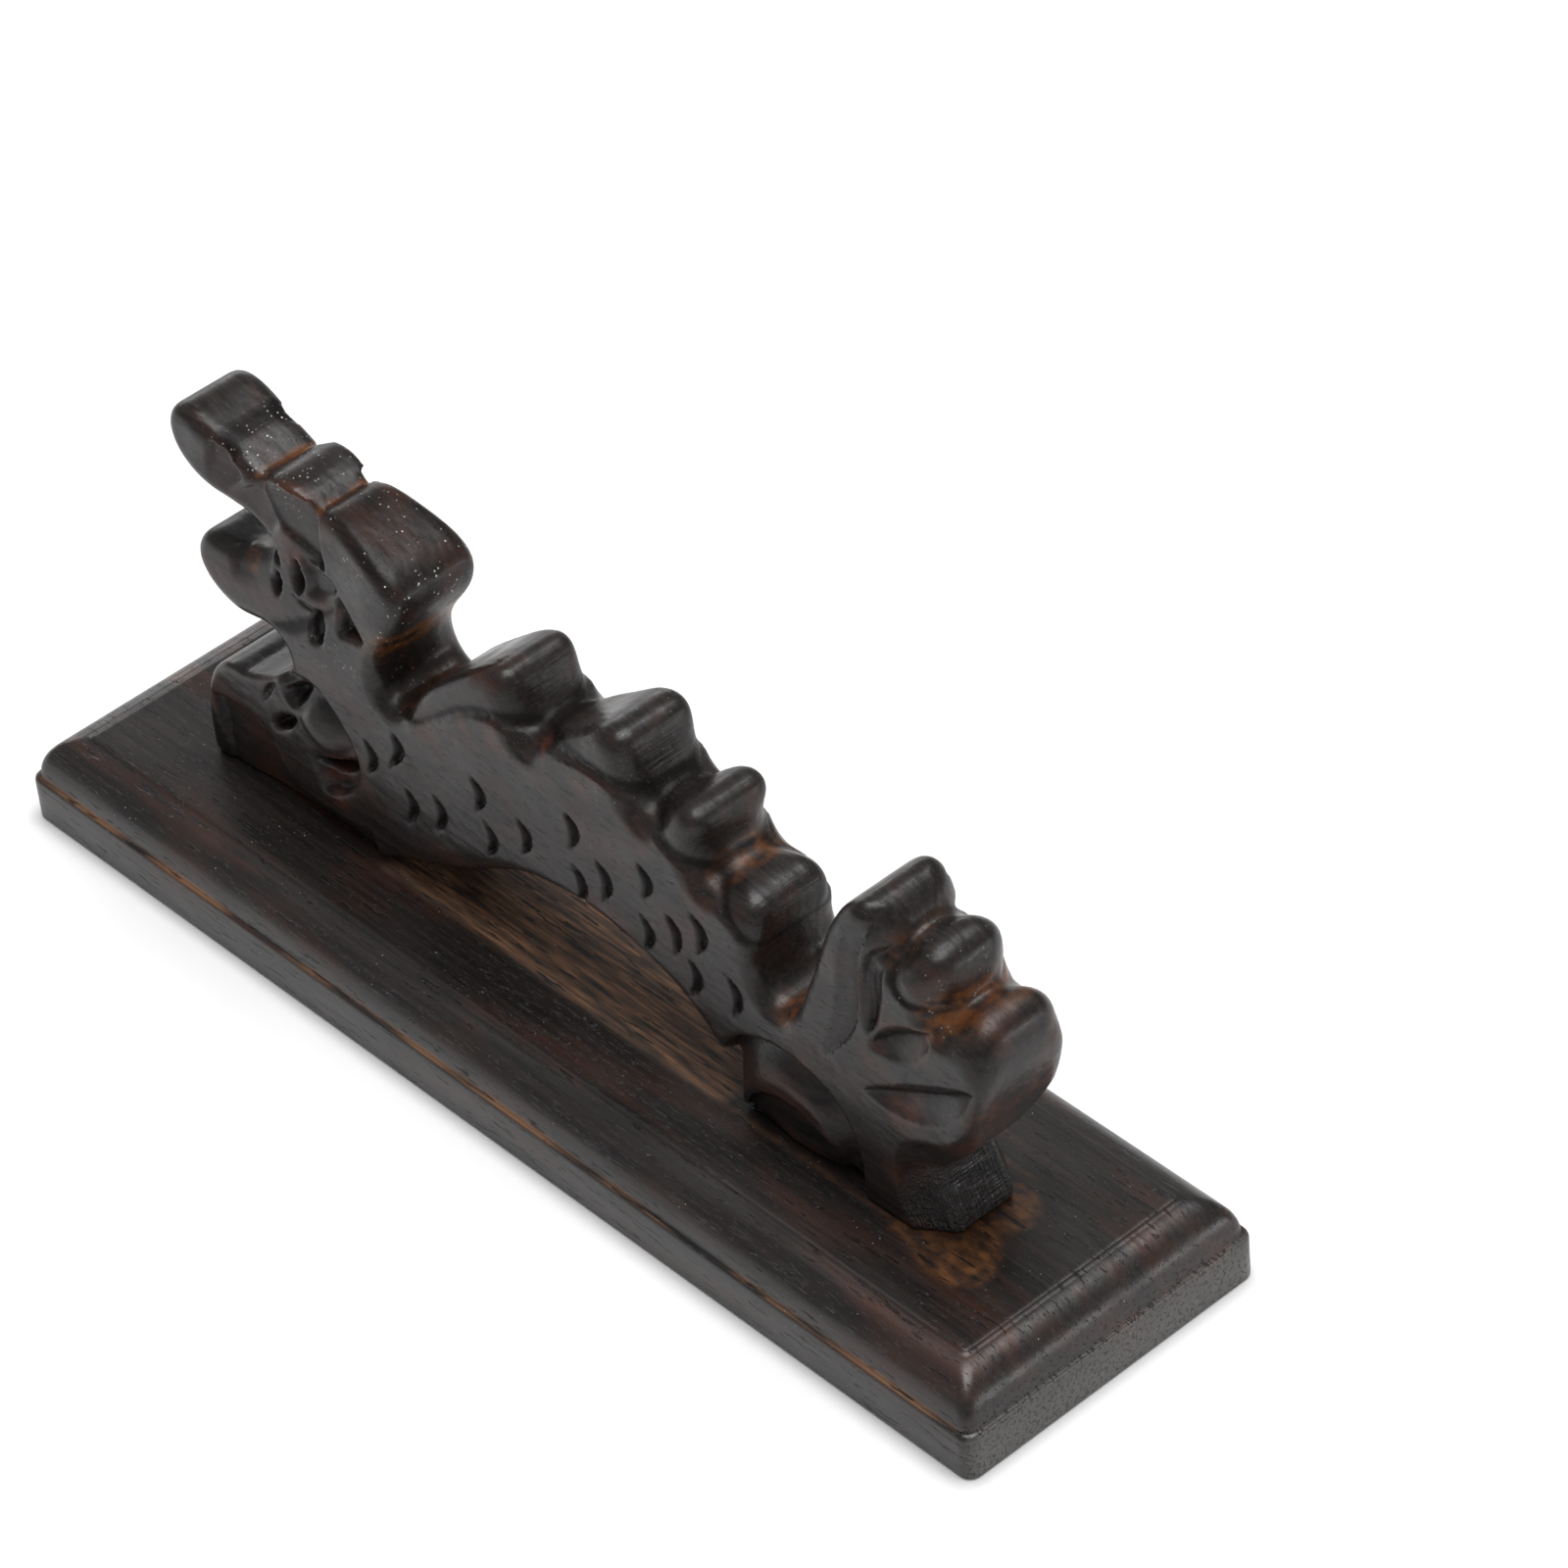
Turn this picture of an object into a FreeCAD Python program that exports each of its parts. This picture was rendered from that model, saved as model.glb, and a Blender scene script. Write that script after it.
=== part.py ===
"""Carved dragon rest: a scroll-sawn dragon standing on a moulded board, held by screws from below.

Millimetres. +X runs towards the tail, +Z is up. The origin is the middle of the board's underside.
"""
import FreeCAD, Part
import math
import os

from FreeCAD import Vector

# Board
BOARD_LENGTH = 180.0
BOARD_WIDTH = 48.4
BOARD_HEIGHT = 13.0
FASCIA_HEIGHT = 6.9        # the upright band under the moulding
LEDGE_WIDTH = 0.7          # the flat ledge where the moulding starts
MOULDING_RUN = 5.4         # how far the convex moulding reaches inwards
TOP_STEP = 0.5             # the small step round the flat top
CORNER_ROUND = 0.9

# Dragon
DRAGON_THICKNESS = 16.0
EDGE_ROUND = 1.2
SAWN_CORNER_ROUND = 0.6
TAPER_START = 28.0         # height above which both flanks lean inwards
TAPER_SLOPE = 0.03
TOOL_OVERRUN = 4.0         # how far a carving tool starts outside the wood
SCALE_DEPTH = 1.0
SCALE_FULLNESS = 1.5       # thickness of a scale cut at its middle
SCALE_BULGE = 1.3          # how far a scale cut bows from the line between its tips

# Screws up through the board into the two feet
SCREW_STATIONS = (-50.0, 49.0)
SCREW_LENGTH = 24.0
HEAD_DIAMETER = 7.0
HEAD_HEIGHT = 2.1
HEAD_LIP = 0.4
HEAD_SINK = 0.5            # the heads lie this far inside the underside
THREAD_DIAMETER = 3.4
CORE_DIAMETER = 2.5
THREAD_PITCH = 1.6
PLAIN_SHANK = 7.5          # smooth part between the head and the thread
POINT_LENGTH = 3.2
DRIVE_WIDTH = 0.9
DRIVE_SPAN = 3.8
DRIVE_DEPTH = 1.2
BOARD_HOLE_DIAMETER = 3.8
PILOT_DIAMETER = 3.5

# The dragon's side outline as (x, z): smooth stretches that meet at corners.
OUTLINE = (
    # front foot, from the board up to the throat
    ((-69.3, 13.0), (-69.5, 17.0), (-69.3, 21.0), (-68.2, 25.4), (-66.0, 29.0), (-63.4, 30.6),
     (-60.2, 30.9)),
    ((-60.2, 30.9), (-57.0, 32.0), (-53.6, 33.8), (-50.6, 36.4)),
    # throat and lower jaw
    ((-50.6, 36.4), (-50.2, 39.2), (-51.8, 41.2), (-55.2, 41.4), (-59.2, 40.8), (-63.4, 41.8),
     (-66.6, 44.4), (-67.6, 47.6), (-66.0, 50.2), (-60.0, 51.0), (-55.2, 52.2), (-52.2, 54.2)),
    # upper jaw and snout
    ((-52.2, 54.2), (-54.6, 56.0), (-58.0, 57.4), (-62.0, 58.0), (-66.2, 59.2), (-69.6, 61.6),
     (-71.0, 65.0), (-70.2, 67.8), (-67.4, 69.0), (-63.8, 68.4), (-60.0, 67.2), (-56.6, 65.8),
     (-53.6, 64.5)),
    # brow
    ((-53.6, 64.5), (-51.0, 66.3), (-48.0, 66.7), (-45.0, 66.0), (-42.4, 64.5)),
    # mane, neck cradle and the back up to the first fin
    ((-42.4, 64.5), (-40.0, 65.8), (-36.5, 65.6), (-32.0, 64.2), (-28.2, 62.6), (-25.6, 59.8),
     (-26.2, 56.2), (-28.8, 52.4), (-31.2, 48.8), (-32.2, 45.2), (-31.2, 42.2), (-28.6, 41.4),
     (-25.4, 44.8), (-21.0, 49.6), (-16.0, 53.7), (-11.5, 57.0), (-8.2, 57.9), (-6.4, 56.2),
     (-5.0, 53.2), (-2.6, 51.8)),
    # the fins along the back
    ((-2.6, 51.8), (2.0, 54.4), (7.0, 57.8), (11.4, 60.2), (14.3, 59.8), (15.6, 57.0), (16.6, 53.7),
     (19.0, 52.2)),
    ((19.0, 52.2), (22.0, 54.1), (25.2, 55.6), (27.7, 54.8), (28.2, 52.0), (28.0, 49.4), (29.2, 47.6),
     (31.5, 47.1), (34.6, 46.9), (37.2, 45.6), (38.0, 43.0), (37.4, 39.4), (38.4, 35.8), (41.0, 33.8),
     (43.8, 35.0), (46.0, 39.0), (48.0, 43.8), (49.6, 48.6), (51.6, 53.6), (54.2, 58.0), (57.4, 60.2),
     (60.4, 59.0), (62.5, 55.4)),
    # tail fan
    ((62.5, 55.4), (65.6, 57.0), (68.6, 56.2), (70.0, 53.4), (70.5, 49.2)),
    ((70.5, 49.2), (73.8, 50.6), (76.8, 49.2), (77.8, 45.8), (77.4, 41.0), (76.0, 36.4), (73.8, 31.4),
     (70.4, 26.4), (65.8, 21.7)),
    # tail foot
    ((65.8, 21.7), (69.9, 13.0)),
    ((69.9, 13.0), (31.6, 13.0)),
    # belly arch between the feet
    ((31.6, 13.0), (30.8, 17.0), (27.6, 21.4), (22.2, 25.4), (15.0, 28.6), (7.5, 29.9), (1.0, 29.2),
     (-6.0, 26.8), (-15.0, 22.0), (-24.0, 17.2), (-34.0, 13.0)),
    ((-34.0, 13.0), (-69.3, 13.0)),
)

# Scale cuts on each flank: the upper tip, the lower tip.
SCALES = (
    ((-36.0, 33.6), (-35.6, 27.6)), ((-29.9, 37.8), (-31.0, 31.4)), ((-28.4, 29.9), (-28.4, 23.6)),
    ((-22.5, 32.0), (-22.5, 25.6)), ((-14.4, 39.6), (-13.8, 33.8)), ((-12.6, 33.5), (-12.5, 27.1)),
    ((-5.8, 37.7), (-5.1, 31.9)), ((3.4, 44.4), (4.6, 38.6)), ((4.3, 36.2), (5.4, 30.0)),
    ((9.1, 39.6), (10.2, 33.2)), ((17.0, 43.9), (18.2, 38.6)), ((16.9, 35.8), (17.5, 29.5)),
    ((21.7, 38.7), (23.3, 32.3)), ((26.6, 41.5), (27.8, 35.2)), ((25.6, 33.7), (25.7, 27.1)),
    ((32.5, 35.3), (33.7, 28.6)),
)

# Carved hollows on each flank: depth, then the closed rim as smooth stretches of (x, z).
HOLLOWS = (
    # teeth at the corner of the mouth
    (1.8, (((-50.4, 52.8), (-51.0, 50.6), (-49.6, 48.4)), ((-49.6, 48.4), (-48.9, 50.4), (-50.4, 52.8)))),
    (2.2, (((-47.4, 56.4), (-48.0, 53.4), (-45.8, 50.8)), ((-45.8, 50.8), (-44.8, 53.2), (-47.4, 56.4)))),
    # two gouged flutes under the lip
    (1.4, (((-42.7, 50.4), (-42.7, 45.2)), ((-42.7, 45.2), (-40.3, 44.8)), ((-40.3, 44.8), (-40.3, 50.0)),
           ((-40.3, 50.0), (-42.7, 50.4)))),
    (1.6, (((-38.0, 55.0), (-37.8, 49.6)), ((-37.8, 49.6), (-35.4, 49.0), (-33.2, 49.8)),
           ((-33.2, 49.8), (-35.6, 52.0), (-38.0, 55.0)))),
    # claw: the lens under the curl and the small pit in front of it
    (2.4, (((-45.6, 24.9), (-42.8, 22.6), (-39.4, 22.4), (-37.2, 25.0), (-37.0, 28.6)),
           ((-37.0, 28.6), (-40.4, 26.2), (-45.6, 24.9)))),
    (1.6, (((-54.6, 26.0), (-52.4, 29.2), (-49.6, 30.2)), ((-49.6, 30.2), (-51.0, 27.2), (-54.6, 26.0)))),
    # hind leg: two nested crescents over the foot
    (1.8, (((29.8, 20.0), (34.6, 26.2), (42.6, 29.2), (50.2, 27.6), (54.4, 22.4), (55.2, 15.2)),
           ((55.2, 15.2), (53.0, 20.6), (49.8, 25.2), (44.4, 26.9), (38.2, 24.8), (33.4, 20.2),
            (31.6, 16.0)),
           ((31.6, 16.0), (29.8, 20.0)))),
    (1.6, (((34.2, 14.2), (38.0, 18.8), (43.2, 20.4), (49.4, 18.4), (53.0, 14.2)),
           ((53.0, 14.2), (34.2, 14.2)))),
    # tail fan: a leaf, a short slit and a long slit
    (1.5, (((59.4, 42.4), (57.6, 47.0), (58.2, 52.4), (60.4, 56.4)), ((60.4, 56.4), (63.4, 56.0)),
           ((63.4, 56.0), (62.6, 50.4), (61.8, 45.8), (59.4, 42.4)))),
    (1.4, (((60.6, 42.6), (64.4, 46.4), (69.2, 48.4)), ((69.2, 48.4), (66.0, 44.6), (60.6, 42.6)))),
    (1.8, (((60.0, 35.6), (66.0, 38.4), (71.6, 42.2), (76.4, 43.8)),
           ((76.4, 43.8), (74.2, 39.6), (68.2, 36.4), (60.0, 35.6)))),
    # the scooped end of the tail foot
    (2.4, (((66.0, 25.0), (63.4, 21.5), (63.0, 18.0), (64.2, 15.0), (66.0, 12.0)),
           ((66.0, 12.0), (72.0, 12.0)), ((72.0, 12.0), (72.0, 25.0)), ((72.0, 25.0), (66.0, 25.0)))),
)


def box(x0, y0, z0, x1, y1, z1):
    return Part.makeBox(x1 - x0, y1 - y0, z1 - z0, Vector(x0, y0, z0))


def cylinder(diameter, x, z0, z1):
    return Part.makeCylinder(diameter / 2, z1 - z0, Vector(x, 0, z0))


def side_point(point, y=0.0):
    """A point of the side view, placed at a depth across the dragon."""
    return Vector(point[0], y, point[1])


def smooth_edge(points, y=0.0):
    """One edge through the points: straight for two of them, a smooth curve for more."""
    places = [side_point(point, y) for point in points]
    if len(places) == 2:
        return Part.makeLine(*places)
    curve = Part.BSplineCurve()
    curve.interpolate(places)
    return curve.toShape()


def side_slab(stretches, y0, y1):
    """The solid between two depths inside a closed rim of smooth stretches."""
    rim = Part.Wire([smooth_edge(points, y0) for points in stretches])
    return Part.Face(rim).extrude(Vector(0, y1 - y0, 0))


def both_flanks(tool):
    """The cutting tool for the near flank together with its mirror image for the far one."""
    return [tool, tool.mirror(Vector(0, 0, 0), Vector(0, 1, 0))]


def moulding_profile(half_width):
    """The board's cross-section on one side of the middle, as a closed wire in (across, up)."""
    rise = BOARD_HEIGHT - TOP_STEP - FASCIA_HEIGHT
    ledge = half_width - LEDGE_WIDTH
    shoulder = ledge - MOULDING_RUN
    across_45, up_45 = ledge - MOULDING_RUN * (1 - math.sqrt(0.5)), FASCIA_HEIGHT + rise * math.sqrt(0.5)
    half = [
        ((half_width, 0.0), (half_width, FASCIA_HEIGHT)),
        ((half_width, FASCIA_HEIGHT), (ledge, FASCIA_HEIGHT)),
        ((ledge, FASCIA_HEIGHT), (across_45, up_45), (shoulder, FASCIA_HEIGHT + rise)),
        ((shoulder, FASCIA_HEIGHT + rise), (shoulder, BOARD_HEIGHT)),
    ]
    mirrored = [tuple((-a, b) for a, b in reversed(line)) for line in reversed(half)]
    return half + [((shoulder, BOARD_HEIGHT), (-shoulder, BOARD_HEIGHT))] + mirrored + [
        ((-half_width, 0.0), (half_width, 0.0))]


def moulded_bar(half_width, reach, place):
    """The moulding's cross-section run straight, with place turning (across, up, along) into a point."""
    edges = []
    for line in moulding_profile(half_width):
        spots = [place(across, up, -reach) for across, up in line]
        edges.append(Part.makeLine(*spots) if len(spots) == 2 else Part.Arc(*spots).toShape())
    travel = place(0, 0, reach) - place(0, 0, -reach)
    return Part.Face(Part.Wire(edges)).extrude(travel)


def make_board():
    """The board: one moulding run along each pair of sides, which meet in mitred corners."""
    long_sides = moulded_bar(BOARD_WIDTH / 2, BOARD_LENGTH, lambda a, u, s: Vector(s, a, u))
    short_sides = moulded_bar(BOARD_LENGTH / 2, BOARD_LENGTH, lambda a, u, s: Vector(a, s, u))
    board = long_sides.common(short_sides)
    uprights = [edge for edge in board.Edges
                if abs(edge.Length - FASCIA_HEIGHT) < 0.01 and abs(edge.tangentAt(0).z) > 0.99]
    board = board.makeFillet(CORNER_ROUND, uprights)
    head_top = HEAD_SINK + HEAD_HEIGHT
    for x in SCREW_STATIONS:
        sink = cylinder(HEAD_DIAMETER, x, 0, HEAD_SINK + HEAD_LIP)
        cone = Part.makeCone(HEAD_DIAMETER / 2, BOARD_HOLE_DIAMETER / 2, HEAD_HEIGHT - HEAD_LIP,
                             Vector(x, 0, HEAD_SINK + HEAD_LIP))
        board = board.cut([sink, cone, cylinder(BOARD_HOLE_DIAMETER, x, head_top, BOARD_HEIGHT)])
    return board


def scale_tool(top, bottom):
    """A crescent gouge cut, bowed towards the tail, between its upper and lower tips."""
    middle = ((top[0] + bottom[0]) / 2, (top[1] + bottom[1]) / 2)
    outer = (middle[0] + SCALE_BULGE + SCALE_FULLNESS, middle[1])
    inner = (middle[0] + SCALE_BULGE, middle[1])
    floor = -DRAGON_THICKNESS / 2 + SCALE_DEPTH
    start = -DRAGON_THICKNESS / 2 - TOOL_OVERRUN
    edges = [Part.Arc(*[side_point(p, start) for p in (top, over, bottom)]).toShape()
             for over in (outer, inner)]
    return Part.Face(Part.Wire(edges)).extrude(Vector(0, floor - start, 0))


def taper_tool():
    """The wedge of wood planed off one flank above the height where it starts to lean inwards."""
    half = DRAGON_THICKNESS / 2
    top = DRAGON_THICKNESS * 6
    lean = (top - TAPER_START) * TAPER_SLOPE
    corners = [Vector(-top, -half, TAPER_START), Vector(-top, -half + lean, top), Vector(-top, -half, top)]
    return Part.Face(Part.makePolygon(corners + corners[:1])).extrude(Vector(2 * top, 0, 0))


def soften(solid):
    """Rounds the corners of the sawn outline, then the rims of both flanks, down to the board."""
    above_board = BOARD_HEIGHT + 0.1
    corners = [edge for edge in solid.Edges
               if edge.BoundBox.YLength > DRAGON_THICKNESS / 2 and edge.BoundBox.ZMin > above_board]
    solid = solid.makeFillet(SAWN_CORNER_ROUND, corners)
    rims = [edge for edge in solid.Edges
            if edge.BoundBox.YLength < DRAGON_THICKNESS / 4 and edge.BoundBox.ZMax > above_board
            and not (edge.BoundBox.ZLength < 0.01 and abs(edge.BoundBox.ZMin - TAPER_START) < 0.01)]
    return solid.makeFillet(EDGE_ROUND, rims)


def make_dragon():
    """The dragon: its sawn outline, softened edges, carved scales and hollows, and screw pilots."""
    half = DRAGON_THICKNESS / 2
    dragon = side_slab(OUTLINE, -half, half).cut(both_flanks(taper_tool()))
    dragon = soften(dragon)
    tools = []
    for top, bottom in SCALES:
        tools += both_flanks(scale_tool(top, bottom))
    for depth, stretches in HOLLOWS:
        tools += both_flanks(side_slab(stretches, -half - TOOL_OVERRUN, -half + depth))
    dragon = dragon.cut(tools)
    tip = HEAD_SINK + SCREW_LENGTH
    pilots = [cylinder(PILOT_DIAMETER, x, BOARD_HEIGHT - 1, tip + 0.5) for x in SCREW_STATIONS]
    return dragon.cut(pilots)


def screw_outline():
    """Half of a wood screw's outline as (radius, height above its head's face)."""
    points = [(0, 0), (HEAD_DIAMETER / 2, 0), (HEAD_DIAMETER / 2, HEAD_LIP),
              (THREAD_DIAMETER / 2, HEAD_HEIGHT), (THREAD_DIAMETER / 2, HEAD_HEIGHT + PLAIN_SHANK)]
    height = HEAD_HEIGHT + PLAIN_SHANK
    while height + THREAD_PITCH < SCREW_LENGTH - POINT_LENGTH:
        points += [(CORE_DIAMETER / 2, height + THREAD_PITCH * 0.3),
                   (CORE_DIAMETER / 2, height + THREAD_PITCH * 0.7),
                   (THREAD_DIAMETER / 2, height + THREAD_PITCH)]
        height += THREAD_PITCH
    points += [(CORE_DIAMETER / 2, height + THREAD_PITCH * 0.3), (0, SCREW_LENGTH)]
    return points


def make_screw(x):
    """A countersunk wood screw with a cross recess, its head just inside the board's underside."""
    points = [Vector(x + radius, 0, HEAD_SINK + height) for radius, height in screw_outline()]
    outline = Part.Face(Part.makePolygon(points + points[:1]))
    screw = outline.revolve(Vector(x, 0, 0), Vector(0, 0, 1), 360)
    wide, narrow = DRIVE_SPAN / 2, DRIVE_WIDTH / 2
    for reach_x, reach_y in ((wide, narrow), (narrow, wide)):
        slot = box(x - reach_x, -reach_y, HEAD_SINK - 1, x + reach_x, reach_y, HEAD_SINK + DRIVE_DEPTH)
        screw = screw.cut(slot)
    return screw


def main():
    nodes = {
        "base_board": make_board(),
        "dragon": make_dragon(),
        "foot_screws": Part.makeCompound([make_screw(x) for x in SCREW_STATIONS]),
    }
    os.makedirs("parts", exist_ok=True)
    for name, shape in nodes.items():
        shape.exportStep(os.path.join("parts", name + ".step"))
        bounds = shape.BoundBox
        print(name, "solids", len(shape.Solids), "valid", shape.isValid(), "volume", round(shape.Volume),
              "x", round(bounds.XMin, 2), round(bounds.XMax, 2), "z", round(bounds.ZMin, 2),
              round(bounds.ZMax, 2))


main()
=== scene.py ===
"""Carved dragon rest: sculpted wood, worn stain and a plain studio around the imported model."""
import math

import bmesh
import bpy
import numpy as np
from mathutils import Matrix, Vector


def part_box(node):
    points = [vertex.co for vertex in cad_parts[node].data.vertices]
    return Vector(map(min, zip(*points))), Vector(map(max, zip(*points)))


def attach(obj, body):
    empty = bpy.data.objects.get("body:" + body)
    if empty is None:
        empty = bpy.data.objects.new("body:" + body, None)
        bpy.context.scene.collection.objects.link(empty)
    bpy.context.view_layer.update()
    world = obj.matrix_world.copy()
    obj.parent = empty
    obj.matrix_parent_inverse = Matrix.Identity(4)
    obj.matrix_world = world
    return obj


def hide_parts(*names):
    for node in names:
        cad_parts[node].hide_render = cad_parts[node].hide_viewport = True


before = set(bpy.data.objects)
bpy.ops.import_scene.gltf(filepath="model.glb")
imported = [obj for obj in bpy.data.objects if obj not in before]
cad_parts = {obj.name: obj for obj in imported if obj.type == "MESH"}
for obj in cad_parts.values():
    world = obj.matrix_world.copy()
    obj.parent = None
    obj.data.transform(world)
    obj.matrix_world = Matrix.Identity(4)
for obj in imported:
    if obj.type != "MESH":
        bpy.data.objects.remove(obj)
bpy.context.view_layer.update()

MM = 0.001

# Camera and studio
CAMERA_AZIMUTH = 50.85         # degrees round from looking along +Y
CAMERA_ELEVATION = 40.38
CAMERA_ROLL = -5.64
CAMERA_DISTANCE = 862.9        # mm
CAMERA_AIM = (-21.27, -31.64)  # where the origin lies, right of and above the view's middle, in mm
CAMERA_LENS = 155.2
FLOOR_SIZE = 6.0
SKY_STRENGTH = 0.32
PAPER = (0.98, 0.98, 0.98, 1)

# Softboxes: azimuth and elevation like the camera's, distance and size in m, watts
SOFTBOXES = {
    "softbox_above": (150, 84, 1.3, (0.9, 0.9), 16.5),
    "softbox_left": (242, 14, 1.2, (0.8, 0.22), 1.7),
    "softbox_right": (118, 9, 1.2, (0.6, 0.2), 2.0),
}

# The board, in mm, measured inwards from its edge and up from its underside
BOARD_HEIGHT = 13.0
BOARD_CORNER = 1.7
FASCIA_TOP = 6.85
LEDGE = 0.62
MOULDING_RUN = 5.6
MOULDING_TOP = 12.78
MOULDING_STEPS = 14
BOARD_GRID = (280, 60)         # cells along and across the flat top
SCREW_PLACES = (-50.0, 49.0)
SCREW_HOLE = ((3.5, -1.0), (3.5, 0.9), (1.9, 2.6), (1.9, 12.0))    # radius and height of its stages
HOLE_SIDES = 32

# The dragon, in mm
HALF_THICKNESS = 8.0
TAPER_START = 28.0             # height above which the flanks lean inwards
TAPER_SLOPE = 0.03
HEAD_THINNING = 1.3            # how much more each side of the head leans in
SCULPT_STEP = 0.38             # grid spacing along the flanks
SCULPT_STEP_ACROSS = 0.6
SCULPT_MARGIN = 2.5            # empty grid steps left round the dragon
OUTLINE_SECTION = 3.0          # the depth at which the sawn outline is read
CURVE_STEPS = 8                # short lines between two points of a smooth line


# --------------------------------------------------------------------------- camera and studio

def view_axes(azimuth, elevation, roll):
    """Right, up and backward unit vectors of a camera, from its angles in degrees."""
    turn, tilt, lean = (math.radians(angle) for angle in (azimuth, elevation, roll))
    back = Vector((math.sin(turn) * math.cos(tilt), -math.cos(turn) * math.cos(tilt), math.sin(tilt)))
    level = Vector((math.cos(turn), math.sin(turn), 0))
    upright = back.cross(level)
    right = level * math.cos(lean) + upright * math.sin(lean)
    up = upright * math.cos(lean) - level * math.sin(lean)
    return right, up, back


def turned(axes, place):
    """The matrix of an object with those right, up and backward axes at a place."""
    return Matrix.Translation(place) @ Matrix(axes).transposed().to_4x4()


def make_camera():
    right, up, back = view_axes(CAMERA_AZIMUTH, CAMERA_ELEVATION, CAMERA_ROLL)
    place = back * CAMERA_DISTANCE - right * CAMERA_AIM[0] - up * CAMERA_AIM[1]
    data = bpy.data.cameras.new("camera")
    data.lens = CAMERA_LENS
    data.clip_end = 50
    camera = bpy.data.objects.new("camera", data)
    camera.matrix_world = turned((right, up, back), place * MM)
    bpy.context.scene.collection.objects.link(camera)
    bpy.context.scene.camera = camera


def add_light(name, azimuth, elevation, distance, size, power):
    """An area light facing the object, at angles measured like the camera's."""
    data = bpy.data.lights.new(name, "AREA")
    data.shape = "RECTANGLE"
    data.size, data.size_y = size
    data.energy = power
    light = bpy.data.objects.new(name, data)
    axes = view_axes(azimuth, elevation, 0)
    light.matrix_world = turned(axes, axes[2] * distance)
    bpy.context.scene.collection.objects.link(light)


def make_studio():
    world = bpy.data.worlds.new("studio")
    world.use_nodes = True
    sky = world.node_tree.nodes["Background"]
    sky.inputs["Color"].default_value = (1, 1, 1, 1)
    sky.inputs["Strength"].default_value = SKY_STRENGTH
    bpy.context.scene.world = world
    bpy.context.scene.view_settings.view_transform = "Standard"
    for name, settings in SOFTBOXES.items():
        add_light(name, *settings)
    make_floor()


def make_floor():
    """Plain white paper, just under the board."""
    bpy.ops.mesh.primitive_plane_add(size=FLOOR_SIZE, location=(0, 0, -0.1 * MM))
    floor = bpy.context.object
    floor.name = "floor"
    paper = bpy.data.materials.new("paper")
    paper.use_nodes = True
    shader = paper.node_tree.nodes["Principled BSDF"]
    shader.inputs["Base Color"].default_value = PAPER
    shader.inputs["Roughness"].default_value = 0.9
    floor.data.materials.append(paper)


# --------------------------------------------------------------------------- measuring the side view

def sawn_outline():
    """The dragon's sawn outline as line ends (x, z, x, z) in mm, read where no hollow reaches."""
    cut = bmesh.new()
    cut.from_mesh(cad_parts["dragon"].data)
    parts = cut.verts[:] + cut.edges[:] + cut.faces[:]
    plane = dict(plane_co=(0, OUTLINE_SECTION * MM, 0), plane_no=(0, 1, 0))
    found = bmesh.ops.bisect_plane(cut, geom=parts, **plane)["geom_cut"]
    edges = [part for part in found if isinstance(part, bmesh.types.BMEdge)]
    ends = [[edge.verts[0].co.x, edge.verts[0].co.z, edge.verts[1].co.x, edge.verts[1].co.z]
            for edge in edges]
    cut.free()
    return np.array(ends) / MM


def curve(points, closed=False):
    """Places along a smooth line through a few (x, z) points."""
    ring = [points[-1], *points, *points[:2]] if closed else [points[0], *points, points[-1]]
    p = np.array(ring, float)
    t = np.linspace(0, 1, CURVE_STEPS, endpoint=False)[:, None]
    spans = []
    for before, start, end, after in zip(p, p[1:], p[2:], p[3:]):
        bow = 2 * before - 5 * start + 4 * end - after
        turn = 3 * start - before - 3 * end + after
        spans.append(start + 0.5 * ((end - before) * t + bow * t ** 2 + turn * t ** 3))
    spans.append(np.array([points[0] if closed else points[-1]], float))
    return np.concatenate(spans)


def from_ends(ends, x, z):
    """Distance from places to the nearest of some lines, its index and the share along it."""
    best = np.full(x.shape, np.inf)
    index = np.zeros(x.shape, int)
    share = np.zeros(x.shape)
    for k, (x0, z0, x1, z1) in enumerate(ends):
        dx, dz = x1 - x0, z1 - z0
        t = np.clip(((x - x0) * dx + (z - z0) * dz) / max(dx * dx + dz * dz, 1e-12), 0, 1)
        distance = np.hypot(x - x0 - t * dx, z - z0 - t * dz)
        closer = distance < best
        best = np.where(closer, distance, best)
        index = np.where(closer, k, index)
        share = np.where(closer, t, share)
    return best, index, share


def is_within(ends, x, z):
    """True for places inside the closed rim that the short lines make."""
    inside = np.zeros(x.shape, bool)
    for x0, z0, x1, z1 in ends:
        if z0 != z1:
            crossing = x0 + (z - z0) * (x1 - x0) / (z1 - z0)
            inside ^= ((z0 > z) != (z1 > z)) & (x < crossing)
    return inside


def smooth(low, high, value):
    """0 below low, 1 above high and a soft step between."""
    t = np.clip((value - low) / (high - low), 0, 1)
    return t * t * (3 - 2 * t)


# --------------------------------------------------------------------------- carving the flanks

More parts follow.
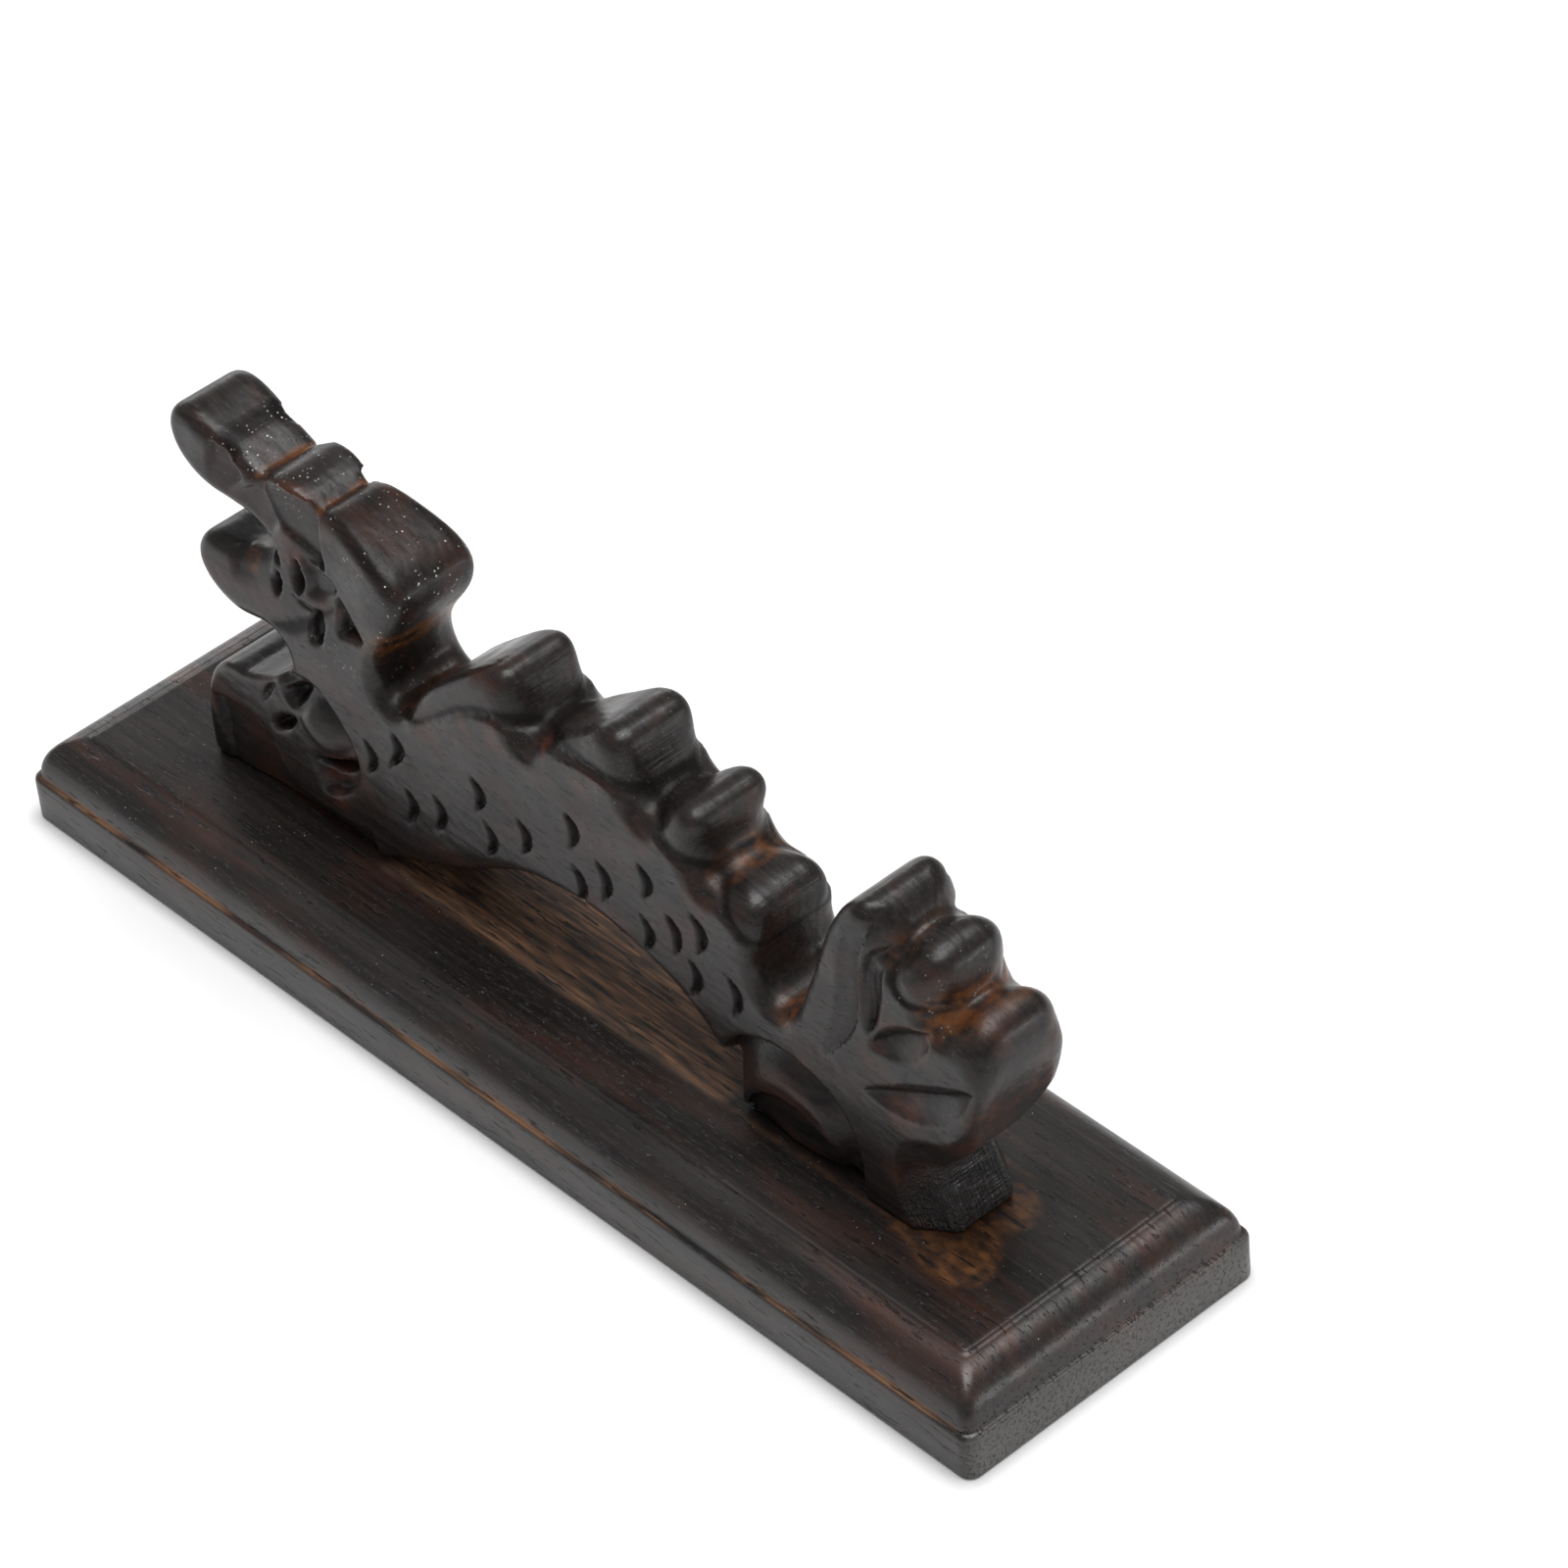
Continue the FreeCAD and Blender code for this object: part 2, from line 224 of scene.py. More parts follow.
class Flank:
    """A relief map of the flank: how deep it is carved, in mm, on a grid of (x, z)."""

    def __init__(self, x, z):
        self.x, self.z = x, z
        self.depth = np.zeros(x.shape)
        # Where the shaded wall of a cut is painted dark as shade, 0 to 1.
        self.cut_shade = np.zeros(x.shape)

    def near(self, line, reach):
        """The part of the grid within reach of a line, with its places."""
        low, high = line.min(0) - reach, line.max(0) + reach
        first = np.searchsorted(self.x[:, 0], (low[0], high[0]))
        second = np.searchsorted(self.z[0], (low[1], high[1]))
        window = (slice(*first), slice(*second))
        return window, self.x[window], self.z[window]

    def beside(self, points, reach):
        """Window, distance, side (left +1) and share along a smooth line, within reach of it."""
        line = curve(points)
        window, x, z = self.near(line, reach)
        ends = np.hstack([line[:-1], line[1:]])
        distance, index, share = from_ends(ends, x, z)
        start, travel = line[:-1][index], np.diff(line, axis=0)[index]
        cross = travel[..., 0] * (z - start[..., 1]) - travel[..., 1] * (x - start[..., 0])
        lengths = np.linalg.norm(np.diff(line, axis=0), axis=1)
        before = np.concatenate([[0], np.cumsum(lengths)])
        along = (before[index] + share * lengths[index]) / before[-1]
        return window, distance, np.sign(cross), along

    def cut(self, points, left, right, depth, taper=(1, 1), dark=-1):
        """A cut along a line, deepest on it, with its own width to the left and to the right.
        taper says how much each end runs out to nothing: 1 runs out, 0 stops square.
        One wall of it is painted dark as shade: dark is 1 for the left side, -1 for the right."""
        window, distance, side, along = self.beside(points, max(left, right) + 1)
        swell = np.sin(np.pi * np.clip(along, 0, 1)) ** 0.7
        first, last = taper
        fade = np.where(along < 0.5, 1 - first + first * swell, 1 - last + last * swell)
        width = np.where(side > 0, left, right) * np.maximum(fade, 1e-3)
        profile = np.clip(1 - distance / width, 0, 1)
        self.depth[window] = np.maximum(self.depth[window], depth * fade * profile ** 0.7)
        # The wall on the dark side, marked for painted shade.
        shaded_wall = smooth(0.0, 0.25, profile) * (fade > 0.05) * (side == dark)
        self.cut_shade[window] = np.maximum(self.cut_shade[window], shaded_wall)

    def lower(self, points, depth, edge, reach, ends=0.12):
        """Lowers the ground to the left of a line, at once over edge and back up over reach."""
        window, distance, side, along = self.beside(points, reach + 1)
        signed = distance * side
        step = smooth(-edge / 2, edge / 2, signed) * (1 - smooth(edge, reach, signed))
        fade = smooth(0, ends, along) * smooth(0, ends, 1 - along)
        self.depth[window] += depth * step * fade

    def hollow(self, points, depth, wall, tilt=(0, 0)):
        """A hollow inside a closed rim; its walls are wall wide, and tilt deepens it along x and z."""
        line = curve(points, closed=True)
        window, x, z = self.near(line, 1)
        ends = np.hstack([line[:-1], line[1:]])
        inward = from_ends(ends, x, z)[0] * np.where(is_within(ends, x, z), 1, -1)
        middle = line.mean(0)
        floor = depth + tilt[0] * (x - middle[0]) + tilt[1] * (z - middle[1])
        self.depth[window] = np.maximum(self.depth[window], floor * smooth(-0.1, wall, inward))

    def boss(self, points, height, shoulder):
        """Raises a rounded mass inside a closed rim."""
        line = curve(points, closed=True)
        window, x, z = self.near(line, 1)
        ends = np.hstack([line[:-1], line[1:]])
        inward = from_ends(ends, x, z)[0] * np.where(is_within(ends, x, z), 1, -1)
        rise = 1 - (1 - np.clip(inward / shoulder, 0, 1)) ** 2
        self.depth[window] -= height * rise


# The rim of the flat facet over the eye
BROW = ((-52.0, 64.8), (-50.4, 61.2), (-49.0, 59.4), (-46.3, 58.6), (-43.4, 57.4), (-41.4, 56.6),
        (-41.9, 60.8), (-42.2, 64.8), (-46.0, 65.8), (-49.8, 65.8))

# Scale cuts: upper tip, lower tip
SCALES = (
    ((-36.0, 33.6), (-35.6, 27.6)), ((-29.9, 37.8), (-31.0, 31.4)), ((-28.4, 29.9), (-28.4, 23.6)),
    ((-22.5, 32.0), (-22.5, 25.6)), ((-14.4, 39.6), (-13.8, 33.8)), ((-12.6, 33.5), (-12.5, 27.1)),
    ((-5.8, 37.7), (-5.1, 31.9)), ((3.4, 44.4), (4.6, 38.6)), ((4.3, 36.2), (5.4, 30.0)),
    ((9.1, 39.6), (10.2, 33.2)), ((17.0, 43.9), (18.2, 38.6)), ((16.9, 35.8), (17.5, 29.5)),
    ((21.7, 38.7), (23.3, 32.3)), ((26.6, 41.5), (27.8, 35.2)), ((25.6, 33.7), (25.7, 27.1)),
    ((32.5, 35.3), (33.7, 28.6)),
)
SCALE_OUTER = 2.9      # how far the outer arc of a scale cut bows towards the tail
SCALE_INNER = 1.25     # and its inner arc
SCALE_SKEW = 0.62      # 1 bows most in the middle, less bows most above it
SCALE_DEPTH = 0.9


def carve_scales(flank):
    """Crescent gouge cuts with pointed tips, deepest near their outer arc, their insides marked for
    painted shade.
    """
    for top, bottom in SCALES:
        window, x, z = flank.near(np.array([top, bottom]), SCALE_OUTER + 1)
        down = np.clip((top[1] - z) / (top[1] - bottom[1]), 0, 1)
        travel = down ** SCALE_SKEW
        bow = 4 * travel * (1 - travel)
        across = x - top[0] - down * (bottom[0] - top[0])
        width = np.maximum((SCALE_OUTER - SCALE_INNER) * bow, 1e-3)
        into = (across - SCALE_INNER * bow) / width
        floor = np.clip(np.minimum(into / 0.5, (1.1 - into) / 0.3), 0, 1) * np.clip(width, 0, 1)
        flank.depth[window] = np.maximum(flank.depth[window], SCALE_DEPTH * floor)
        # The inside of the crescent, marked for painted shade.
        shaded_wall = smooth(-0.2, 0.1, into) * smooth(1.05, 0.85, into) * smooth(0, 0.2, bow)
        flank.cut_shade[window] = np.maximum(flank.cut_shade[window], shaded_wall)


def carve_back(flank):
    """The border along the back: the fins stand a little lower than the body below it."""
    border = ((-30.5, 39.8), (-27.5, 41.4), (-23.5, 42.8), (-19.0, 46.0), (-15.0, 49.0),
              (-9.0, 51.6), (-2.5, 51.4), (4.0, 53.2), (10.0, 54.0), (15.0, 53.0), (19.0, 51.2),
              (24.0, 49.0), (29.0, 46.6), (34.0, 43.8), (38.0, 40.6), (41.0, 36.5))
    flank.lower(border, depth=0.7, edge=0.5, reach=9.0, ends=0.06)
    flank.cut(border, left=1.5, right=0.7, depth=0.9, dark=1)


def carve_head(flank):
    """Snout, brow and cheek overlap like shingles; lips, teeth and flutes are cut below them."""
    crease = ((-53.4, 65.0), (-51.6, 62.4), (-50.6, 60.4), (-49.4, 59.4))
    flank.lower(crease[::-1], depth=0.9, edge=0.4, reach=9.0, ends=0.2)
    brow_edge = ((-41.4, 56.6), (-42.0, 59.5), (-42.4, 62.5), (-42.4, 65.5))
    flank.lower(brow_edge, depth=1.0, edge=0.4, reach=8.0, ends=0.05)
    flank.hollow(BROW, depth=0.9, wall=0.4, tilt=(0.12, 0.0))
    flank.cut(((-49.6, 59.4), (-46.6, 58.6), (-43.8, 57.6), (-41.2, 56.4)),
              left=0.4, right=1.0, depth=0.6)
    nostril = ((-62.0, 68.0), (-60.0, 67.6), (-58.4, 66.4), (-57.6, 65.0))
    flank.cut(nostril, left=0.4, right=1.6, depth=0.9)
    flank.lower(((-62.6, 66.6), (-60.4, 66.2), (-58.4, 65.0), (-56.4, 63.4))[::-1],
                depth=0.8, edge=0.5, reach=7.0, ends=0.1)
    flank.cut(((-52.4, 55.4), (-51.2, 53.6), (-50.2, 53.0)),
              left=1.0, right=0.5, depth=1.2, taper=(0, 1))
    flank.cut(((-51.0, 52.0), (-50.4, 50.2), (-51.0, 48.0)), left=0.4, right=1.7, depth=1.8)
    flank.cut(((-47.6, 55.6), (-45.9, 53.2), (-46.6, 50.3)), left=0.4, right=2.4, depth=2.1)
    dish = ((-46.0, 56.4), (-42.0, 56.4), (-38.8, 55.4), (-39.2, 53.6), (-41.6, 51.7),
            (-44.6, 51.2), (-45.2, 53.6))
    flank.hollow(dish, depth=0.9, wall=1.5)
    flank.cut(((-48.0, 50.2), (-45.0, 49.6), (-42.0, 50.2), (-39.4, 52.2), (-38.2, 54.2)),
              left=0.3, right=0.8, depth=0.5)
    flute = ((-43.8, 49.6), (-41.6, 49.2), (-41.7, 46.4), (-42.4, 44.9), (-44.5, 44.9))
    flank.hollow(flute, depth=1.6, wall=0.7)
    corner = ((-38.9, 54.2), (-37.6, 53.6), (-35.4, 52.0), (-33.4, 49.8), (-35.6, 48.9),
              (-38.6, 48.4), (-38.9, 51.0))
    flank.hollow(corner, depth=1.7, wall=0.9, tilt=(0.05, -0.05))
    flank.lower(((-60.6, 50.8), (-57.6, 51.2), (-55.2, 52.8), (-53.6, 54.0))[::-1],
                depth=0.9, edge=0.5, reach=5.0, ends=0.15)
    flank.cut(((-52.6, 43.4), (-48.6, 45.6), (-45.0, 48.0), (-42.0, 49.4)),
              left=1.2, right=2.4, depth=0.35)


def carve_claw(flank):
    """The front claw: a rounded boss wrapped by a curling toe, with deep cuts between them."""
    ring = ((-52.8, 33.6), (-49.4, 36.2), (-45.0, 36.8), (-41.2, 34.6), (-38.6, 31.2),
            (-37.4, 27.6), (-38.6, 23.8), (-42.0, 20.6), (-46.6, 19.0))
    flank.lower(ring[::-1], depth=1.5, edge=1.2, reach=7.0, ends=0.1)
    flank.hollow(((-52.0, 33.0), (-49.4, 35.6), (-45.8, 36.0), (-46.6, 33.4), (-48.6, 31.0),
                  (-50.6, 30.6)), depth=2.9, wall=2.0)
    flank.hollow(((-46.4, 24.2), (-43.6, 25.8), (-40.8, 27.0), (-38.6, 28.4), (-38.6, 25.8),
                  (-40.6, 23.6), (-43.4, 22.8)), depth=3.4, wall=1.3)
    flank.hollow(((-55.0, 25.4), (-52.6, 28.3), (-49.4, 29.2), (-50.8, 26.6), (-53.6, 24.9)),
                 depth=2.2, wall=1.0)
    flank.boss(((-48.4, 30.4), (-45.0, 34.4), (-41.6, 33.2), (-39.4, 29.6), (-42.4, 26.8),
                (-46.6, 27.6)), height=1.0, shoulder=3.4)
    flank.cut(((-56.6, 27.8), (-54.8, 30.6), (-52.9, 33.4)), left=0.9, right=0.3, depth=0.9)
    pad = ((-68.8, 22.8), (-64.0, 24.0), (-59.0, 24.2), (-56.4, 23.0), (-55.3, 20.8), (-53.8, 18.4),
           (-51.2, 16.8), (-47.5, 16.0), (-42.0, 16.2), (-36.0, 17.4))
    flank.lower(pad[::-1], depth=1.5, edge=1.0, reach=16.0, ends=0.03)


def carve_hind_leg(flank):
    """The thigh: a low disc inside a deep crescent, undercut at its foot."""
    crescent = ((28.6, 11.0), (29.0, 15.0), (29.5, 18.2), (30.8, 21.5), (34.2, 25.8), (39.2, 28.2),
                (44.2, 28.6), (49.0, 27.6), (52.5, 25.3), (54.7, 21.8), (55.6, 17.6), (55.4, 11.0))
    flank.lower(crescent[::-1], depth=2.5, edge=0.9, reach=6.5, ends=0.01)
    disc = ((33.4, 12.0), (34.4, 15.0), (36.5, 17.8), (40.0, 19.7), (43.5, 20.1), (47.5, 19.1),
            (50.5, 17.1), (52.8, 14.0), (53.2, 12.0))
    flank.lower(disc[::-1], depth=1.6, edge=0.7, reach=12.0, ends=0.01)


def carve_tail(flank):
    """The tail fan: a dished border, a leaf, two slits between the lobes and a scooped foot."""
    groove = ((50.4, 32.6), (52.8, 35.8), (54.9, 38.9), (56.2, 42.0), (56.8, 46.0), (57.0, 50.0),
              (57.4, 53.4), (58.6, 56.4))
    flank.cut(groove, left=3.4, right=0.3, depth=1.1, taper=(1, 0.4))
    leaf = ((58.6, 41.2), (57.4, 44.6), (57.2, 49.0), (58.0, 52.4), (59.4, 55.0), (62.0, 55.4),
            (61.9, 51.8), (61.4, 47.4), (60.4, 43.6))
    flank.hollow(leaf, depth=1.3, wall=1.5, tilt=(-0.2, 0))
    flank.cut(((58.6, 39.6), (62.0, 42.2), (65.6, 44.8), (69.6, 47.4)),
              left=1.7, right=3.2, depth=1.7, dark=1)
    flank.cut(((57.4, 31.8), (62.0, 33.6), (66.6, 35.8), (71.2, 38.6), (76.4, 42.6)),
              left=1.9, right=3.4, depth=1.9, dark=1)
    flank.cut(((62.2, 56.0), (63.0, 52.0), (65.0, 50.4), (68.0, 50.0), (70.6, 49.4)),
              left=1.6, right=0.5, depth=0.5)
    scoop = ((79.0, 41.0), (75.6, 35.6), (71.4, 31.6), (67.4, 29.6), (64.4, 27.6), (62.8, 25.5),
             (61.8, 22.0), (61.8, 18.6), (62.8, 15.6), (64.6, 13.0), (65.6, 11.0))
    window, distance, side, _ = flank.beside(scoop, 14)
    into = np.clip(distance * (side > 0) / 7.0, 0, 1)
    flank.depth[window] = np.maximum(flank.depth[window], 3.5 * (1 - (1 - into) ** 2.2))


# Valleys of the sawn outline that run out over the flanks as scoops: x, z, extra rounding
VALLEYS = ((-2.6, 51.0, 2.8), (19.0, 51.4, 2.8), (29.6, 47.0, 3.0), (62.5, 55.0, 2.2),
           (70.5, 48.8, 2.6), (41.0, 34.5, 1.0), (-29.5, 43.0, 1.0))


def edge_rounding(x, z):
    """How far the flank's rim is rounded over, in mm, which differs from place to place."""
    belly = smooth(38, 32, -x) * smooth(36, 30, x) * smooth(33, 27, z)
    foot = smooth(24, 18, z) * (1 - belly)
    claw = smooth(50, 54, -x) * smooth(40, 34, z)
    radius = 2.1 + 2.2 * belly - 1.2 * np.maximum(foot, claw)
    for valley_x, valley_z, more in VALLEYS:
        radius += more * np.exp(-(((x - valley_x) / 3.6) ** 2 + ((z - valley_z) / 4.6) ** 2))
    radius += 1.5 * smooth(57, 63, x) * smooth(42, 47, z)
    brow = smooth(52, 50, -x) * smooth(41, 43, -x) * smooth(57, 59, z)
    return radius * (1 - 0.6 * brow)


def fin_softness(x, z):
    """How much more the fins and the fan are rounded over on the near side, in mm."""
    fins = smooth(-14, -8, x) * smooth(44, 38, x) * smooth(44, 50, z - 0.25 * np.minimum(20 - x, 0))
    fan = smooth(56, 62, x) * smooth(44, 50, z)
    return 1.6 * np.maximum(fins, fan)


def relief(x, z):
    """How far the finished flank lies below the plank's own face, and where cut walls get painted
    shade.
    """
    flank = Flank(x, z)
    for carve in (carve_back, carve_head, carve_claw, carve_hind_leg, carve_tail, carve_scales):
        carve(flank)
    wander = 0.06 + 0.06 * np.sin(x / 5.3 + 0.4 * np.sin(z / 4.1)) * np.sin(z / 6.7 + 1.3)
    head = HEAD_THINNING * smooth(28, 41, -x) * smooth(42, 57, z) * (1 - 0.6 * smooth(56, 66, -x))
    return flank.depth + wander + head + TAPER_SLOPE * np.maximum(z - TAPER_START, 0), flank.cut_shade


# --------------------------------------------------------------------------- turning fields into meshes

def surface_net(field, low, steps):
    """Points and four-cornered faces of the surface where a sampled field changes sign."""
    shape = np.array(field.shape) - 1
    total = np.zeros((*shape, 3), np.float32)
    count = np.zeros(shape, np.float32)
    for axis in range(3):
        u, v = (axis + 1) % 3, (axis + 2) % 3
        for du in (0, 1):
            for dv in (0, 1):
                first = [slice(None, -1)] * 3
                first[u] = slice(du, field.shape[u] - 1 + du)
                first[v] = slice(dv, field.shape[v] - 1 + dv)
                second = list(first)
                second[axis] = slice(1, None)
                a, b = field[tuple(first)], field[tuple(second)]
                crossed = (a < 0) != (b < 0)
                gap = np.where(crossed, a - b, 1)
                total[..., axis] += np.where(crossed, a / gap, 0)
                total[..., u] += crossed * du
                total[..., v] += crossed * dv
                count += crossed
    used = count > 0
    index = np.full(shape, -1)
    index[used] = np.arange(used.sum())
    points = (np.argwhere(used) + total[used] / count[used][:, None]) * steps + low
    faces = []
    for axis in range(3):
        u, v = (axis + 1) % 3, (axis + 2) % 3
        inner = [slice(1, -1)] * 3
        inner[axis] = slice(None, -1)
        beyond = list(inner)
        beyond[axis] = slice(1, None)
        starts, ends = field[tuple(inner)] < 0, field[tuple(beyond)] < 0
        for leaving, order in ((starts & ~ends, 1), (~starts & ends, -1)):
            cell = np.argwhere(leaving)
            cell[:, [u, v]] += 1
            corners = []
            for du, dv in ((1, 1), (0, 1), (0, 0), (1, 0))[::order]:
                corner = cell.copy()
                corner[:, u] -= du
                corner[:, v] -= dv
                corners.append(index[tuple(corner.T)])
            faces.append(np.stack(corners, 1))
    return points, np.concatenate(faces)


def blurred(field, sizes):
    """The field averaged over a box that reaches this many samples to each side along each axis."""
    for axis, size in enumerate(sizes):
        before = [(size + 1, size) if a == axis else (0, 0) for a in range(3)]
        sums = np.cumsum(np.pad(field, before, mode="edge"), axis=axis)
        upper, lower = [slice(None)] * 3, [slice(None)] * 3
        upper[axis] = slice(2 * size + 1, None)
        lower[axis] = slice(None, -2 * size - 1)
        field = (sums[tuple(upper)] - sums[tuple(lower)]) / (2 * size + 1)
    return field


def sampled(field, points, low, steps):
    """The field's value at each point, read between its samples."""
    place = (points - low) / steps
    cell = np.clip(np.floor(place).astype(int), 0, np.array(field.shape) - 2)
    t = place - cell
    value = np.zeros(len(points))
    for corner in np.ndindex(2, 2, 2):
        weight = np.prod(np.where(corner, t, 1 - t), axis=1)
        value += weight * field[tuple((cell + corner).T)]
    return value


def make_mesh(name, points, faces):
    """A smooth-shaded object from points in mm."""
    mesh = bpy.data.meshes.new(name)
    mesh.from_pydata((points * MM).tolist(), [], faces)
    mesh.shade_smooth()
    piece = bpy.data.objects.new(name, mesh)
    bpy.context.scene.collection.objects.link(piece)
    return piece


def add_mask(piece, name, values):
    """Stores one number per point for the materials to read."""
    layer = piece.data.attributes.new(name, "FLOAT", "POINT")
    layer.data.foreach_set("value", values.astype(np.float32))


# --------------------------------------------------------------------------- the dragon

# Where the dragon is marked, as (x, z, reach, strength): orange stain, saw marks across the board,
# reddish bruises, crossed saw marks, a dull top to the mane, and dust
MARKS = {
    "stain": ((-28.8, 49.5, 3.6, 1.0), (-28.6, 43.5, 2.2, 0.9), (30.0, 48.0, 2.0, 0.8),
              (-53.6, 64.6, 1.1, 0.9), (-42.4, 64.6, 1.0, 0.8), (69.6, 49.6, 2.6, 0.9),
              (68.2, 46.6, 1.3, 0.8), (42.5, 35.0, 2.2, 0.6), (-56.6, 50.3, 1.6, 0.5),
              (73.0, 51.0, 2.4, 0.4), (62.0, 55.0, 2.0, 0.3)),
    "sawn": ((68.5, 18.0, 6.0, 1.0), (-6.5, 54.5, 3.6, 0.6), (16.0, 56.0, 3.6, 0.6),
             (27.8, 52.0, 3.6, 0.6), (37.5, 42.5, 4.0, 0.6), (-27.0, 56.0, 5.0, 0.5),
             (71.5, 27.0, 4.0, 0.5)),
    "rub": ((-22.0, 42.0, 3.0, 0.6), (-15.0, 46.5, 3.0, 0.7), (-8.0, 49.0, 2.6, 0.7),
            (0.0, 50.0, 2.6, 0.7), (9.0, 51.0, 2.6, 0.7), (18.0, 48.0, 2.6, 0.5),
            (-42.5, 21.5, 3.2, 0.9), (64.0, 32.6, 3.4, 0.9), (59.5, 38.5, 2.4, 0.7),
            (-48.5, 56.5, 3.0, 0.8), (-36.0, 50.5, 2.0, 0.6), (29.0, 44.0, 3.0, 0.4),
            (57.0, 46.0, 2.0, 0.3), (76.5, 38.0, 3.0, 0.6)),
    "hatched": ((68.5, 17.5, 5.0, 1.0),),
    "dull": ((-34.0, 64.0, 8.0, 1.0),),
    "dust": ((-27.0, 59.5, 4.5, 1.0), (-29.0, 54.0, 4.0, 0.9), (-57.0, 66.5, 4.5, 0.8),
             (-48.0, 66.5, 5.0, 0.5), (-36.0, 65.0, 7.0, 0.6), (-28.0, 45.0, 5.0, 0.4),
             (-38.0, 46.0, 9.0, 0.25), (10.0, 57.0, 10.0, 0.15), (66.0, 50.0, 8.0, 0.15)),
}


def on_flank(values, points, grid):
    """Reads a side-view map at each point; the grid is its first x, its first z and its spacing."""
    place = (points[:, [0, 2]] - grid[:2]) / grid[2]
    cell = np.clip(np.floor(place).astype(int), 0, np.array(values.shape) - 2)
    t = place - cell
    value = np.zeros(len(points))
    for corner in np.ndindex(2, 2):
        weight = np.prod(np.where(corner, t, 1 - t), axis=1)
        value += weight * values[tuple((cell + corner).T)]
    return value


def spots(points, places):
    """How strongly round spots reach each point, in the side view."""
    reached = np.zeros(len(points))
    for x, z, reach, strength in places:
        distance = np.hypot(points[:, 0] - x, points[:, 2] - z)
        reached = np.maximum(reached, strength * smooth(reach * 1.4, reach * 0.4, distance))
    return reached


def dragon_field(x, y, z):
    """Signed distance to the carved dragon on a grid, and the side view of the cut walls that get
    painted shade.
    """
    side_x, side_z = np.meshgrid(x, z, indexing="ij")
    ends = sawn_outline()
    outward = from_ends(ends, side_x, side_z)[0] * np.where(is_within(ends, side_x, side_z), -1, 1)
    worn = blurred(outward[:, :, None], (3, 3, 0))[:, :, 0]
    outward += (worn - outward) * (0.25 + 0.75 * smooth(36, 30, -side_x))
    near_side = (y < 0)[None, :, None]
    radius = edge_rounding(side_x, side_z)[:, None, :]
    radius = radius + near_side * fin_softness(side_x, side_z)[:, None, :]
    depth, cut_shade = relief(side_x, side_z)
    across = np.abs(y)[None, :, None] - (HALF_THICKNESS - depth)[:, None, :]
    past_outline, past_face = outward[:, None, :] + radius, across + radius
    rounded = np.hypot(np.maximum(past_outline, 0), np.maximum(past_face, 0))
    return rounded + np.minimum(np.maximum(past_outline, past_face), 0) - radius, cut_shade


def sculpt_dragon():
    """The dragon as carved: sawn outline, relief on both flanks and rims rounded over."""
    low, high = (np.array(corner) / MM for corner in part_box("dragon"))
    steps = np.array((SCULPT_STEP, SCULPT_STEP_ACROSS, SCULPT_STEP))
    foot = low[2]
    low = low - SCULPT_MARGIN * steps
    sizes = np.ceil((high + SCULPT_MARGIN * steps - low) / steps).astype(int) + 1
    x, y, z = (low[a] + steps[a] * np.arange(sizes[a]) for a in range(3))
    body, cut_shade = dragon_field(x, y, z)
    field = np.maximum(body, (foot - z)[None, None, :]).astype(np.float32)
    points, faces = surface_net(field, low, steps)
    piece = make_mesh("carved_dragon", points, faces.tolist())
    add_mask(piece, "bend", sampled(blurred(field, (4, 3, 4)), points, low, steps))
    # Painted shade on the shaded walls of cuts.
    add_mask(piece, "cut_shade", on_flank(cut_shade, points, (x[0], z[0], SCULPT_STEP)))
    # Lowers the reflection towards the bottom of the flank: painted shade.
    add_mask(piece, "low_shade", smooth(31, 17, points[:, 2]) * smooth(66, 62, points[:, 0]))
    for mask, places in MARKS.items():
        add_mask(piece, mask, spots(points, places))
    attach(piece, "root")
    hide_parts("dragon")
    return piece


# --------------------------------------------------------------------------- the board

def board_profile():
    """The board's edge from its underside up to its flat top, as (inset, height) in mm."""
    foot = FASCIA_TOP + 0.2
    start = LEDGE + 0.1
    profile = [(0.45, 0.0), (0.12, 0.12), (0.0, 0.45), (0.0, 3.4), (0.0, 6.2), (0.1, 6.62),
               (0.34, FASCIA_TOP), (LEDGE, FASCIA_TOP), (start, foot)]
    for k in range(1, MOULDING_STEPS + 1):
        turn = math.pi / 2 * k / MOULDING_STEPS
        profile.append((start + MOULDING_RUN * (1 - math.cos(turn)),
                        foot + (MOULDING_TOP - foot) * math.sin(turn)))
    inner = start + MOULDING_RUN
    return profile + [(inner + 0.1, BOARD_HEIGHT - 0.06), (inner + 0.22, BOARD_HEIGHT)]


def rounded_ring(loop, half, corner):
    """A square loop of places stretched to these half sizes, with its corners rounded."""
    place = loop * half
    beyond = np.maximum(np.abs(place) - (half - corner), 0)
    in_corner = (beyond.min(1) > 0)[:, None]
    outwards = beyond / np.maximum(np.linalg.norm(beyond, axis=1), 1e-9)[:, None]
    return np.where(in_corner, np.sign(place) * (half - corner + outwards * corner), place)


def ring_faces(rings, size):
    """Four-cornered faces between rings of this many points, each ring after the one below it."""
    faces = []
    for ring in range(rings - 1):
        for k in range(size):
            start, end = ring * size + k, ring * size + (k + 1) % size
            faces.append((start, end, end + size, start + size))
    return faces


